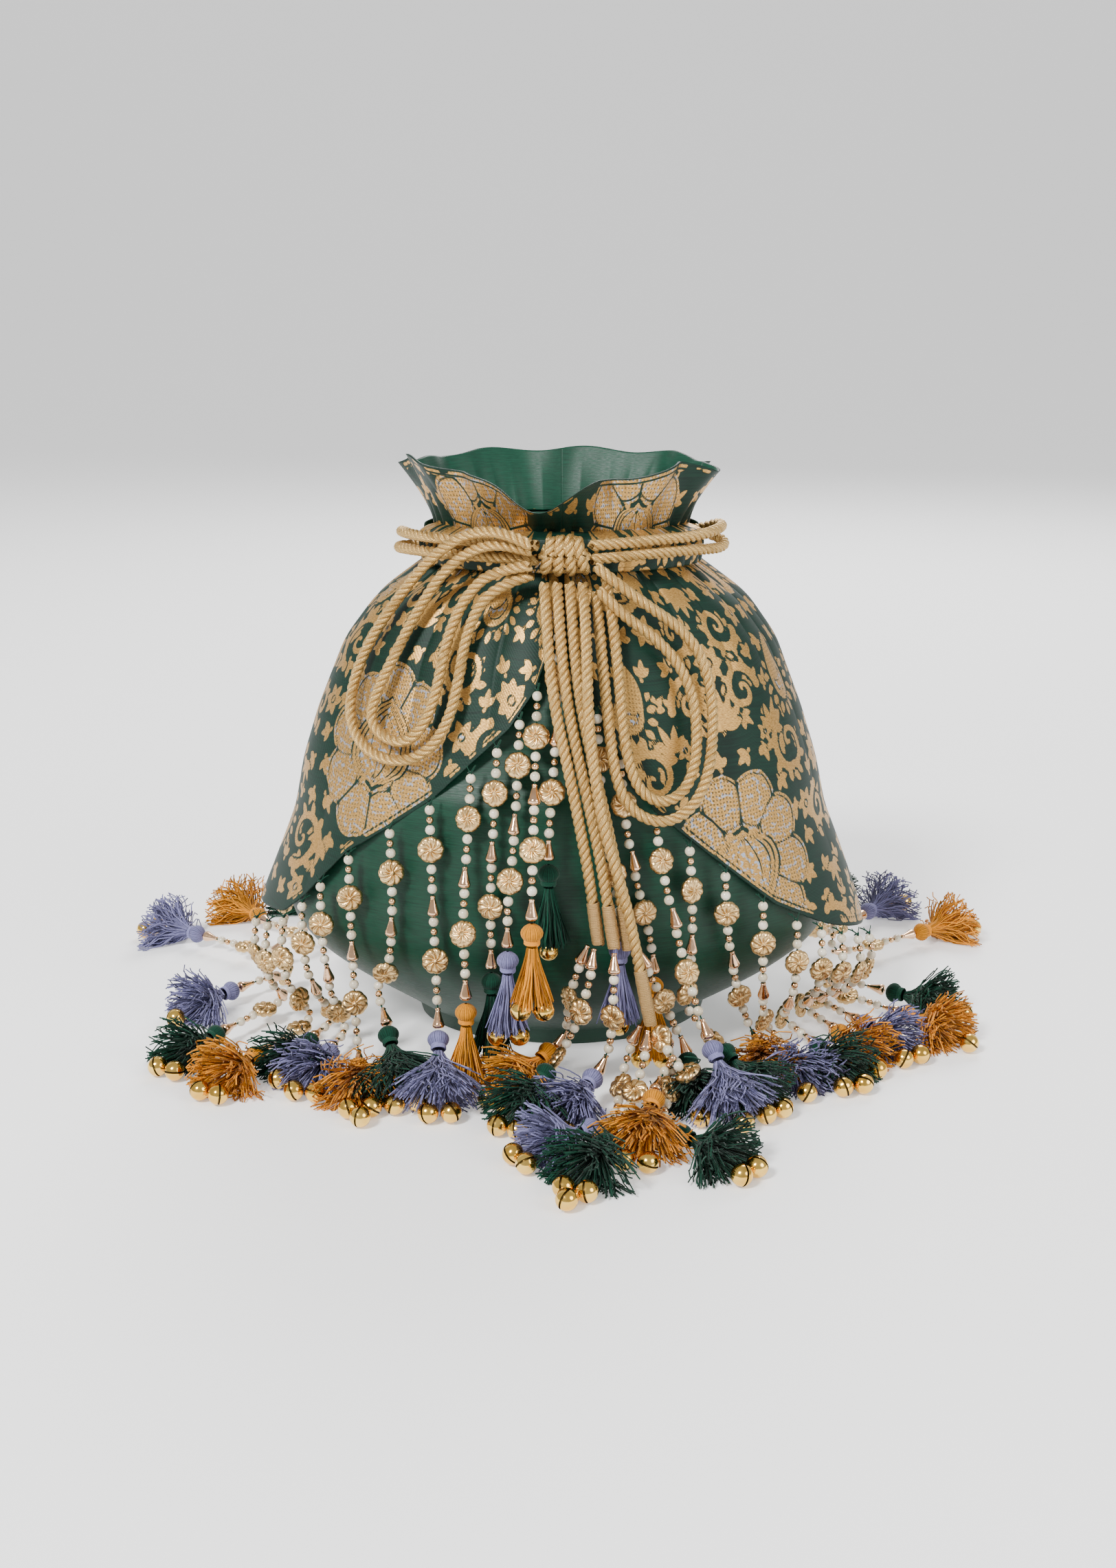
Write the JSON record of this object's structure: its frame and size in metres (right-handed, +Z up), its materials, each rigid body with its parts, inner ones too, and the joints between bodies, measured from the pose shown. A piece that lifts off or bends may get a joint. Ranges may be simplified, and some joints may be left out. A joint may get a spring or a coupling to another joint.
{
  "type": "drawstring potli bag",
  "caption": "Round drawstring gift pouch with a brocade petal overlay, a tied cord bow and a beaded fringe ending in tassels and small bells.",
  "frame": {"origin": "middle of the underside of the flat base", "axes": "+Z up, out of the mouth; -Y is the front, where the bow is tied; +X to the right seen from the front"},
  "size_m": [0.3678, 0.3189, 0.211],
  "materials": {
    "silk": "slubbed dupion silk",
    "lining": "plain silk lining",
    "brocade": "satin brocade woven with metallic thread",
    "board": "grey-brown card",
    "gilt_cord": "three-ply twisted metallic cord",
    "gilt_wire": "fine wire whipping",
    "beads": "pearl and gilt beads",
    "tassel_thread": "silky thread",
    "bell_brass": "polished"
  },
  "bodies": {
    "bag": {"pouch_shell": "silk", "pouch_lining": "lining", "base_board": "board", "frill_facing": "lining", "frill_left": "brocade", "frill_right": "brocade", "overlay_left_yoke": "brocade", "overlay_right_yoke": "brocade", "drawstring_casing_front": "brocade", "drawstring_casing_back": "brocade", "channel_cord_left": "gilt_cord", "channel_cord_right": "gilt_cord", "lead_left_upper": "gilt_cord", "lead_left_lower": "gilt_cord", "lead_right_upper": "gilt_cord", "lead_right_lower": "gilt_cord", "bow_knot": "gilt_cord", "fringe_apex_beads": "beads", "fringe_apex_tassels": "tassel_thread", "fringe_apex_bells": "bell_brass"},
    "petal_left": {"overlay_left_petal": "brocade"},
    "petal_right": {"overlay_right_petal": "brocade"},
    "bow_loop_left": {"bow_loop_left_outer": "gilt_cord", "bow_loop_left_inner": "gilt_cord"},
    "fringe_left_front": {"fringe_left_front_beads": "beads", "fringe_left_front_tassels": "tassel_thread", "fringe_left_front_bells": "bell_brass"},
    "fringe_left_corner": {"fringe_left_corner_beads": "beads", "fringe_left_corner_tassels": "tassel_thread", "fringe_left_corner_bells": "bell_brass"},
    "fringe_left_back": {"fringe_left_back_beads": "beads", "fringe_left_back_tassels": "tassel_thread", "fringe_left_back_bells": "bell_brass"},
    "bow_loop_right": {"bow_loop_right_outer": "gilt_cord", "bow_loop_right_inner": "gilt_cord"},
    "fringe_right_front": {"fringe_right_front_beads": "beads", "fringe_right_front_tassels": "tassel_thread", "fringe_right_front_bells": "bell_brass"},
    "fringe_right_corner": {"fringe_right_corner_beads": "beads", "fringe_right_corner_tassels": "tassel_thread", "fringe_right_corner_bells": "bell_brass"},
    "fringe_right_back": {"fringe_right_back_beads": "beads", "fringe_right_back_tassels": "tassel_thread", "fringe_right_back_bells": "bell_brass"},
    "cord_ends_short": {"tail_short_left": "gilt_cord", "tail_short_middle": "gilt_cord", "tail_short_right": "gilt_cord", "whippings_short": "gilt_wire", "cord_end_short_beads": "beads", "cord_end_short_tassels": "tassel_thread", "cord_end_short_bells": "bell_brass"},
    "cord_end_long": {"tail_long": "gilt_cord", "whipping_long": "gilt_wire", "cord_end_long_beads": "beads", "cord_end_long_tassels": "tassel_thread", "cord_end_long_bells": "bell_brass"}
  },
  "joints": [
    {"name": "petal_left_lift", "type": "hinge", "parent": "bag", "child": "petal_left", "pos_m": [0, 0, 0.188], "axis": [0, 1, 0], "range_deg": [0, 30]},
    {"name": "petal_right_lift", "type": "hinge", "parent": "bag", "child": "petal_right", "pos_m": [0, 0, 0.188], "axis": [0, -1, 0], "range_deg": [0, 30]},
    {"name": "bow_loop_left_lift", "type": "hinge", "parent": "petal_left", "child": "bow_loop_left", "pos_m": [0, -0.047, 0.189], "axis": [-1, 0, 0], "range_deg": [0, 50]},
    {"name": "fringe_left_front_swing", "type": "hinge", "parent": "petal_left", "child": "fringe_left_front", "pos_m": [-0.031, -0.0701, 0.1125], "axis": [-0.775, 0.2416, -0.584], "range_deg": [0, 40]},
    {"name": "fringe_left_corner_swing", "type": "hinge", "parent": "petal_left", "child": "fringe_left_corner", "pos_m": [-0.0865, -0.0505, 0.0669], "axis": [-0.6119, 0.6107, -0.5026], "range_deg": [0, 40]},
    {"name": "fringe_left_back_swing", "type": "hinge", "parent": "petal_left", "child": "fringe_left_back", "pos_m": [-0.11, 0.031, 0.0451], "axis": [0.7159, 0.2736, 0.6424], "range_deg": [0, 40]},
    {"name": "bow_loop_right_lift", "type": "hinge", "parent": "petal_right", "child": "bow_loop_right", "pos_m": [0, -0.048, 0.18], "axis": [-1, 0, 0], "range_deg": [0, 50]},
    {"name": "fringe_right_front_swing", "type": "hinge", "parent": "petal_right", "child": "fringe_right_front", "pos_m": [0.071, -0.0626, 0.0638], "axis": [-0.735, -0.2014, 0.6474], "range_deg": [0, 40]},
    {"name": "fringe_right_corner_swing", "type": "hinge", "parent": "petal_right", "child": "fringe_right_corner", "pos_m": [0.116, -0.0228, 0.0376], "axis": [-0.6534, -0.6764, 0.3398], "range_deg": [0, 40]},
    {"name": "fringe_right_back_swing", "type": "hinge", "parent": "petal_right", "child": "fringe_right_back", "pos_m": [0.014, 0.0684, 0.129], "axis": [0.7098, -0.2631, -0.6534], "range_deg": [0, 40]},
    {"name": "cord_ends_short_swing", "type": "hinge", "parent": "bag", "child": "cord_ends_short", "pos_m": [0, -0.051, 0.1765], "axis": [-1, 0, 0], "range_deg": [0, 60]},
    {"name": "cord_end_long_swing", "type": "hinge", "parent": "cord_ends_short", "child": "cord_end_long", "pos_m": [0, -0.051, 0.1765], "axis": [-1, 0, 0], "range_deg": [0, 30]}
  ]
}
